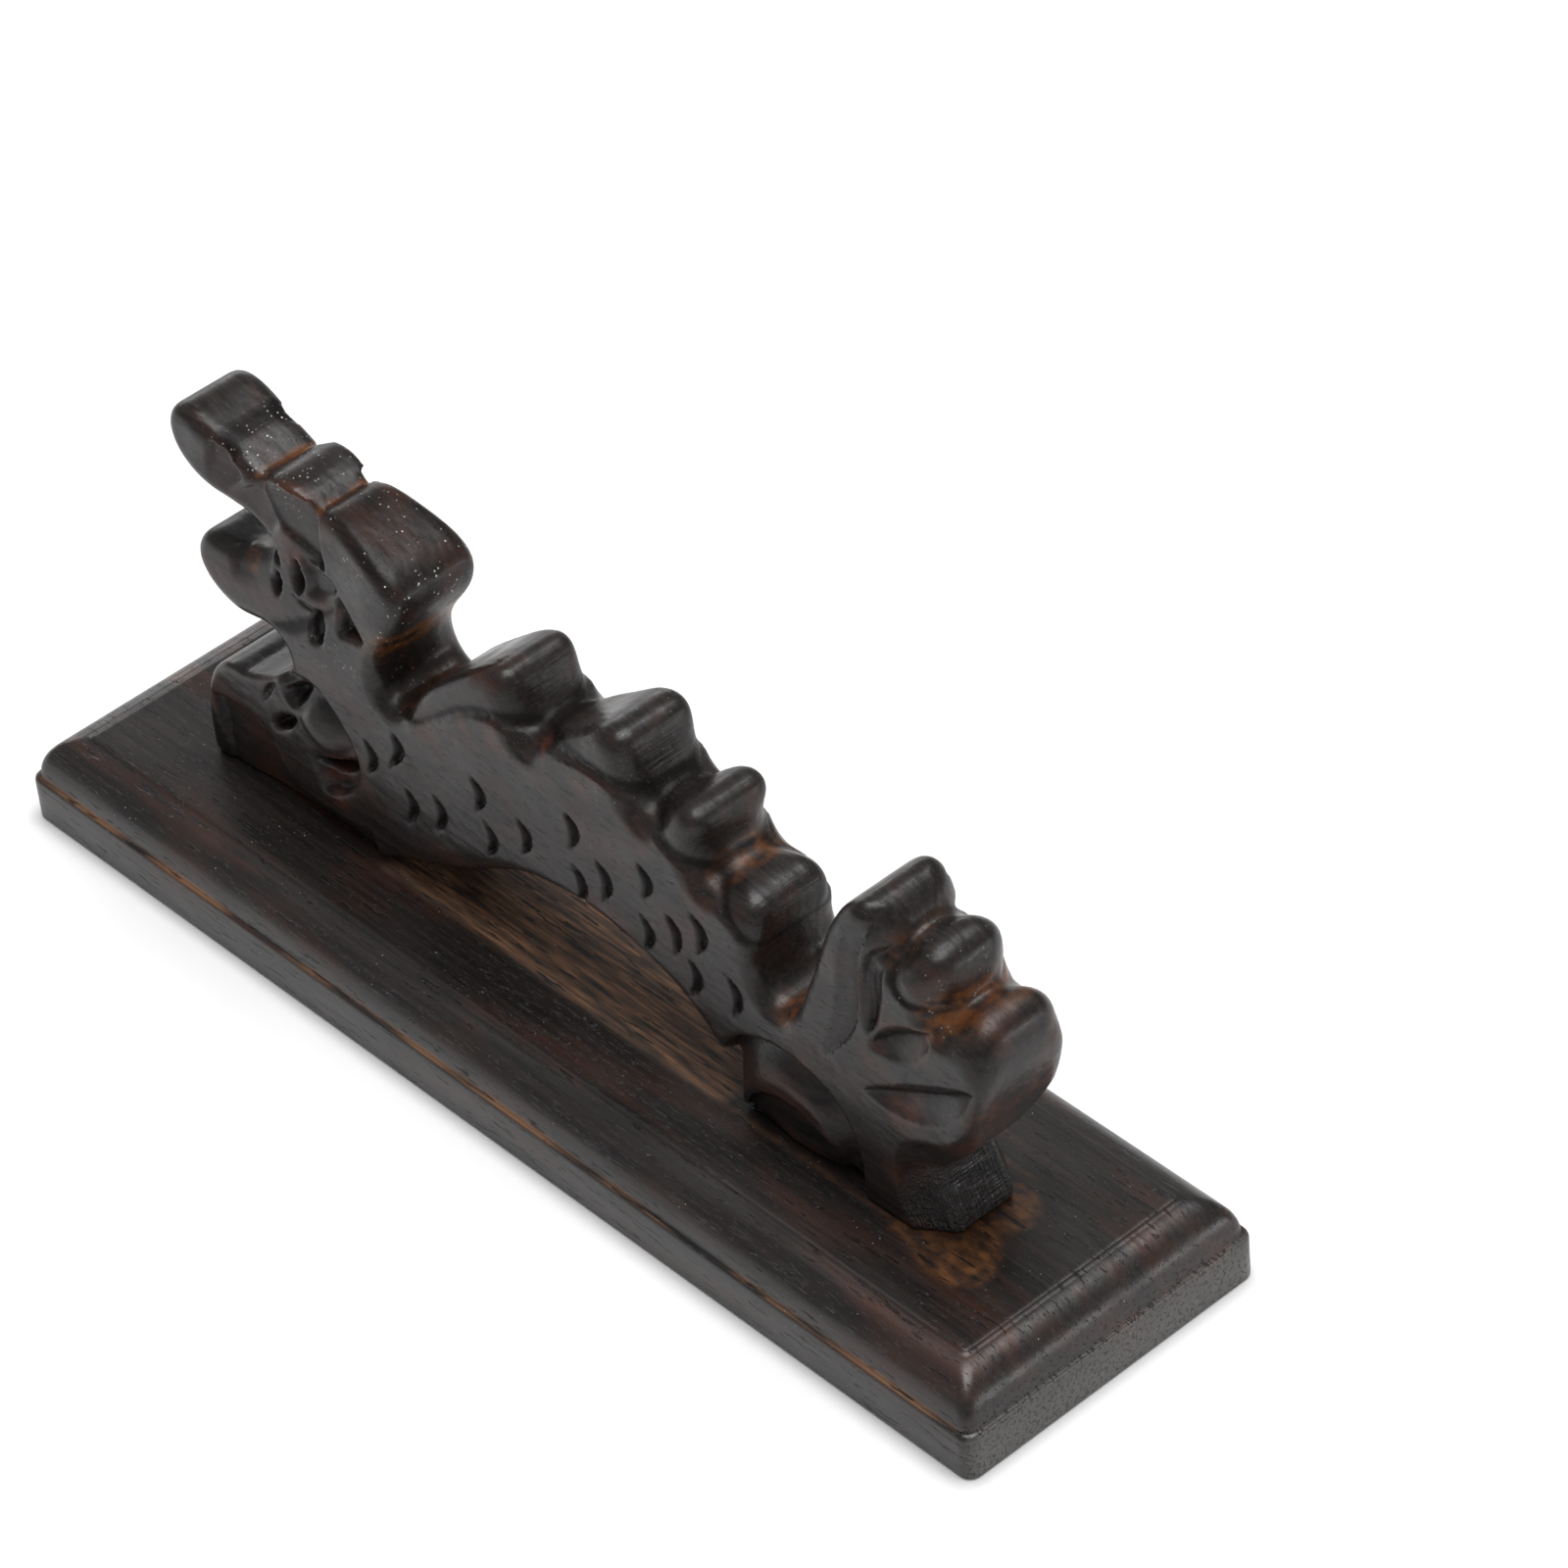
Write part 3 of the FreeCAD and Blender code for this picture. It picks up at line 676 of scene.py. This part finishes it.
def board_mesh():
    """Points and faces of the board: rings up its edge, joined to a fine grid on the flat top."""
    along, across = (np.linspace(-1, 1, cells + 1) for cells in BOARD_GRID)
    loop = [(u, -1) for u in along[:-1]] + [(1, v) for v in across[:-1]]
    loop += [(u, 1) for u in along[:0:-1]] + [(-1, v) for v in across[:0:-1]]
    loop = np.array(loop)
    half = np.array(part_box("base_board")[1])[:2] / MM
    points = []
    for inset, height in board_profile():
        place = rounded_ring(loop, half - inset, BOARD_CORNER * (1 - 0.8 * inset / 7))
        points.append(np.column_stack([place, np.full(len(place), height)]))
    rings, size = len(points), len(loop)
    faces = ring_faces(rings, size)
    edge = {tuple(np.round(loop[k], 6)): (rings - 1) * size + k for k in range(size)}
    top = half - board_profile()[-1][0]
    index = {}
    inner = []
    for i, u in enumerate(along):
        for j, v in enumerate(across):
            on_edge = edge.get(tuple(np.round((u, v), 6)))
            index[i, j] = rings * size + len(inner) if on_edge is None else on_edge
            if on_edge is None:
                inner.append((u * top[0], v * top[1], BOARD_HEIGHT))
    faces += [(index[i, j], index[i + 1, j], index[i + 1, j + 1], index[i, j + 1])
              for i in range(BOARD_GRID[0]) for j in range(BOARD_GRID[1])]
    faces.append(tuple(range(size))[::-1])
    return np.concatenate(points + [np.array(inner)]), faces


def drill_underside(piece):
    """Cuts the two countersunk screw holes under the dragon's feet."""
    turns = np.linspace(0, 2 * np.pi, HOLE_SIDES, endpoint=False)
    last = (len(SCREW_HOLE) - 1) * HOLE_SIDES
    for x in SCREW_PLACES:
        points = [(x + r * np.cos(t), r * np.sin(t), z) for r, z in SCREW_HOLE for t in turns]
        faces = ring_faces(len(SCREW_HOLE), HOLE_SIDES)
        faces += [tuple(range(HOLE_SIDES))[::-1], tuple(range(last, last + HOLE_SIDES))]
        drill = make_mesh("drill", np.array(points), faces)
        hole = piece.modifiers.new("hole", "BOOLEAN")
        hole.object = drill
        hole.solver = "EXACT"
        bpy.context.view_layer.objects.active = piece
        bpy.ops.object.modifier_apply(modifier=hole.name)
        bpy.data.objects.remove(drill)


def make_board():
    """The moulded board, with soft worn edges and a fine top that can carry its stains."""
    points, faces = board_mesh()
    piece = make_mesh("moulded_board", points, faces)
    drill_underside(piece)
    places = np.empty(len(piece.data.vertices) * 3)
    piece.data.vertices.foreach_get("co", places)
    x, y, z = (places.reshape(-1, 3) / MM).T
    on_top = z > BOARD_HEIGHT - 0.05
    bare = smooth(9.2, 7.6, np.abs(y)) * smooth(-36, -33, x) * smooth(32, 29, x)
    add_mask(piece, "bare", bare * on_top)
    add_mask(piece, "end_grain", smooth(89.0, 89.5, np.abs(x)) * smooth(7.2, 6.8, z))
    add_mask(piece, "glue", glue_mask(x, y) * on_top)
    add_mask(piece, "arris", np.exp(-((z - 6.8) / 0.5) ** 2) + np.exp(-((z - 12.5) / 0.4) ** 2))
    add_mask(piece, "ledge", (np.abs(z - 6.95) < 0.15) * smooth(88.6, 88.0, np.abs(x)))
    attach(piece, "root")
    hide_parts("base_board")
    return piece


def glue_mask(x, y):
    """Where glue squeezed out and took the stain off: by the tail foot and along both its sides."""
    patch = ((61.0, -8.4), (64.0, -9.6), (69.0, -11.4), (74.0, -11.6), (77.0, -8.6), (76.0, -4.6),
             (73.6, -1.2), (74.2, 2.0), (73.9, 4.2), (71.4, 6.4), (68.0, 6.6), (64.0, 2.0))
    rim = curve(patch, closed=True)
    ends = np.hstack([rim[:-1], rim[1:]])
    inward = from_ends(ends, x, y)[0] * np.where(is_within(ends, x, y), 1, -1)
    seam = smooth(0.7, 0.1, np.abs(np.abs(y) - 8.2)) * smooth(30, 33, x) * smooth(70, 66, x)
    return np.maximum(smooth(-0.5, 0.9, inward), 0.45 * seam)


# --------------------------------------------------------------------------- materials

class Surface:
    """Wires one material; its textures are laid out in mm with the grain along X."""

    def __init__(self, name):
        self.material = bpy.data.materials.new(name)
        self.material.use_nodes = True
        self.tree = self.material.node_tree
        self.shader = self.tree.nodes["Principled BSDF"]
        self.place = self.add("ShaderNodeTexCoord").outputs["Object"]

    def feed(self, socket, value):
        if isinstance(value, bpy.types.NodeSocket):
            self.tree.links.new(value, socket)
        else:
            socket.default_value = value

    def add(self, kind, inputs=(), **settings):
        node = self.tree.nodes.new(kind)
        for key, value in settings.items():
            setattr(node, key, value)
        for key, value in dict(inputs).items():
            self.feed(node.inputs[key], value)
        return node

    def step(self, value, low, high):
        """0 where the value is at low, 1 where it is at high."""
        limits = {"Value": value, "From Min": low, "From Max": high}
        return self.add("ShaderNodeMapRange", limits).outputs[0]

    def math(self, operation, a, b):
        return self.add("ShaderNodeMath", {0: a, 1: b}, operation=operation).outputs[0]

    def times(self, a, b):
        return self.math("MULTIPLY", a, b)

    def mix(self, share, a, b):
        """Colour a where share is 0, colour b where it is 1."""
        return self.add("ShaderNodeMix", {0: share, 6: a, 7: b}, data_type="RGBA").outputs[2]

    def noise(self, sizes, low, high, detail=3):
        """Noise with marks of these sizes in mm along X, Y and Z, spread from low to high."""
        per_mark = [1 / (size * MM) for size in sizes]
        spread = self.add("ShaderNodeVectorMath", {0: self.place, 1: per_mark},
                          operation="MULTIPLY").outputs[0]
        fog = self.add("ShaderNodeTexNoise", {"Vector": spread, "Scale": 1.0, "Detail": detail})
        return self.step(fog.outputs[0], low, high)

    def specks(self, size, radius):
        """Round specks scattered about size mm apart."""
        cells = self.add("ShaderNodeTexVoronoi", {"Vector": self.place, "Scale": 1 / (size * MM)})
        return self.step(cells.outputs["Distance"], radius, radius * 0.6)

    def mask(self, name):
        return self.add("ShaderNodeAttribute", attribute_name=name).outputs["Fac"]

    def bump(self, height, distance, onto=None):
        """Relief of this many mm where the height goes from 0 to 1."""
        inputs = {"Height": height, "Distance": distance * MM, "Strength": 1.0}
        if onto is not None:
            inputs["Normal"] = onto
        return self.add("ShaderNodeBump", inputs).outputs[0]

    def finish(self, colour, roughness, normal):
        self.feed(self.shader.inputs["Base Color"], colour)
        self.feed(self.shader.inputs["Roughness"], roughness)
        self.feed(self.shader.inputs["Normal"], normal)
        return self.material


DARK = (0.0075, 0.0062, 0.0060, 1)
BROWN = (0.021, 0.0155, 0.0135, 1)
RED_BROWN = (0.080, 0.026, 0.014, 1)
ORANGE = (0.17, 0.058, 0.014, 1)
BARE = (0.29, 0.145, 0.072, 1)
BARE_DARK = (0.070, 0.036, 0.022, 1)
# A lighter grey for the board's end faces: a painted reflection of the white floor.
END_SHEEN_GREY = (0.10, 0.095, 0.09, 1)
GLUE = (0.150, 0.062, 0.022, 1)
GLUE_DARK = (0.050, 0.022, 0.010, 1)
DUST = (0.75, 0.74, 0.70, 1)


def stained(wood):
    """The shared ground: near-black stain over brown streaks, and open pores along the grain."""
    streaks = wood.noise((16, 0.7, 0.7), 0.36, 0.66, detail=5)
    pores = wood.noise((2.0, 0.2, 0.2), 0.64, 0.74, detail=2)
    ground = wood.mix(streaks, DARK, BROWN)
    return streaks, pores, ground


def dragon_colour(wood, ground, pores, hollow):
    """Worn reddish ridges, orange stain in the valleys, painted shade in hollows and on the shaded
    walls of cuts, and dust.
    """
    ridge = wood.step(wood.mask("bend"), 0.10, 0.75)
    blotch = wood.noise((13, 6, 6), 0.50, 0.66)
    rubbed = wood.times(blotch, wood.math("ADD", wood.times(ridge, 0.55), 0.25))
    bruised = wood.times(wood.mask("rub"), wood.noise((4, 2, 2), 0.40, 0.62, detail=4))
    colour = wood.mix(wood.math("MAXIMUM", rubbed, bruised), ground, RED_BROWN)
    breakup = wood.noise((1.8, 2.6, 1.4), 0.38, 0.62, detail=4)
    colour = wood.mix(wood.times(wood.mask("stain"), breakup), colour, ORANGE)
    colour = wood.mix(wood.times(pores, 0.6), colour, DARK)
    # Painted shade: concave places darker.
    colour = wood.mix(wood.times(hollow, 0.7), colour, DARK)
    # Painted shade: the shaded walls of cuts darker.
    colour = wood.mix(wood.times(wood.mask("cut_shade"), 0.8), colour, DARK)
    grit = wood.times(wood.specks(0.75, 0.22), wood.noise((2.2, 2.2, 2.2), 0.50, 0.62))
    return wood.mix(wood.times(grit, wood.mask("dust")), colour, DUST)


def dragon_gloss(wood, hollow):
    """Polish: lowered as painted shade in hollows, on the shaded walls of cuts and towards the bottom,
    lost on the mane's top, strong on crossed saw marks.
    """
    # Painted shade: less reflection in hollows and on the shaded walls of cuts.
    gloss = wood.times(wood.step(hollow, 1.8, -0.1), wood.step(wood.mask("cut_shade"), 1.35, -0.1))
    # Painted shade: less reflection towards the bottom.
    gloss = wood.times(gloss, wood.step(wood.mask("low_shade"), 1.9, -0.05))
    gloss = wood.times(gloss, wood.step(wood.mask("dull"), 2.0, 0))
    gloss = wood.math("ADD", gloss, wood.times(wood.mask("hatched"), 1.2))
    return wood.times(gloss, 0.42)


def dragon_relief(wood, streaks, pores):
    """Knife facets, saw marks, crossed saw marks and open pores."""
    knife = wood.bump(wood.noise((3.4, 2.2, 2.6), 0.25, 0.75, detail=1), 0.06)
    saw = wood.times(wood.noise((0.34, 6, 0.34), 0.35, 0.65, detail=2), wood.mask("sawn"))
    sawn = wood.bump(saw, 0.045, onto=knife)
    upright, level = wood.noise((0.4, 5, 0.4), 0.4, 0.6), wood.noise((5, 0.36, 4), 0.4, 0.6)
    crossed = wood.math("ADD", upright, level)
    sawn = wood.bump(wood.times(crossed, wood.mask("hatched")), 0.45, onto=sawn)
    return wood.bump(wood.math("SUBTRACT", wood.times(streaks, 0.35), pores), 0.025, onto=sawn)


def dragon_wood():
    """Hand-carved stained wood, worn and marked."""
    wood = Surface("dragon_wood")
    streaks, pores, ground = stained(wood)
    # Concave places, which get painted shade: darker colour and less reflection.
    hollow = wood.step(wood.mask("bend"), -0.06, -0.5)
    wood.feed(wood.shader.inputs["Specular IOR Level"], dragon_gloss(wood, hollow))
    patchy = wood.noise((7, 5, 4), 0.3, 0.7)
    roughness = wood.math("ADD", wood.times(patchy, 0.14), 0.25)
    roughness = wood.math("ADD", roughness, wood.times(wood.mask("sawn"), 0.12))
    colour = dragon_colour(wood, ground, pores, hollow)
    return wood.finish(colour, roughness, dragon_relief(wood, streaks, pores))


def board_colour(wood, ground, pores, pits):
    """Stain rubbed at the edges, bare wood under the arch, glue by the tail foot, pores, dust."""
    blotch = wood.noise((26, 5, 5), 0.50, 0.68)
    rubbed = wood.times(blotch, wood.math("ADD", wood.times(wood.mask("arris"), 0.45), 0.25))
    colour = wood.mix(rubbed, ground, RED_BROWN)
    # Painted reflection: the end faces lighter grey.
    colour = wood.mix(wood.times(wood.mask("end_grain"), 0.5), colour, END_SHEEN_GREY)
    ragged = wood.noise((9, 1.1, 1.1), 0.30, 0.62, detail=4)
    bare_tone = wood.mix(wood.noise((7, 0.45, 0.45), 0.34, 0.64, detail=4), BARE_DARK, BARE)
    colour = wood.mix(wood.times(wood.mask("bare"), ragged), colour, bare_tone)
    flow = wood.noise((2.2, 1.6, 1.6), 0.30, 0.60, detail=4)
    glue_tone = wood.mix(wood.noise((3, 1.2, 1.2), 0.35, 0.65, detail=4), GLUE_DARK, GLUE)
    colour = wood.mix(wood.times(wood.mask("glue"), flow), colour, glue_tone)
    worn_ledge = wood.times(wood.mask("ledge"), wood.noise((14, 2, 2), 0.40, 0.60, detail=4))
    colour = wood.mix(wood.times(worn_ledge, 0.6), colour, BARE)
    colour = wood.mix(wood.times(wood.math("MAXIMUM", pores, pits), 0.9), colour, DARK)
    grit = wood.times(wood.specks(1.1, 0.07), wood.noise((5, 5, 5), 0.56, 0.64))
    return wood.mix(grit, colour, DUST)


def board_wood():
    """The board: the same stain, with pits along the grain and round pores in its end grain."""
    wood = Surface("board_wood")
    streaks, pores, ground = stained(wood)
    end_pores = wood.times(wood.noise((3, 0.5, 0.5), 0.60, 0.64, detail=1), wood.mask("end_grain"))
    pits = wood.math("MAXIMUM", wood.noise((5, 0.6, 0.6), 0.625, 0.67, detail=2), end_pores)
    patchy = wood.noise((18, 6, 6), 0.3, 0.7)
    roughness = wood.math("ADD", wood.times(patchy, 0.12), 0.26)
    roughness = wood.math("ADD", roughness, wood.times(wood.mask("bare"), 0.30))
    planed = wood.bump(wood.noise((9, 2.6, 2.6), 0.25, 0.75, detail=1), 0.035)
    gouges = wood.bump(pits, -0.14, onto=planed)
    normal = wood.bump(wood.math("SUBTRACT", wood.times(streaks, 0.3), pores), 0.035, onto=gouges)
    return wood.finish(board_colour(wood, ground, pores, pits), roughness, normal)


def screw_steel():
    """Zinc-plated steel, lightly scratched."""
    steel = Surface("screw_steel")
    steel.shader.inputs["Metallic"].default_value = 1.0
    cloud = steel.noise((1.5, 1.5, 1.5), 0.3, 0.7)
    colour = steel.mix(cloud, (0.42, 0.41, 0.38, 1), (0.60, 0.59, 0.56, 1))
    roughness = steel.math("ADD", steel.times(cloud, 0.15), 0.28)
    return steel.finish(colour, roughness, steel.bump(steel.noise((2, 0.2, 0.2), 0.3, 0.7), 0.02))


def dress(piece, material):
    """Gives every face of the piece this one material."""
    for slot in piece.material_slots:
        slot.material = material
    if not piece.material_slots:
        piece.data.materials.append(material)


make_camera()
make_studio()
looks = {"dragon": dragon_wood(), "base_board": board_wood(), "foot_screws": screw_steel()}
dress(sculpt_dragon(), looks["dragon"])
dress(make_board(), looks["base_board"])
for node, material in looks.items():
    dress(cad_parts[node], material)
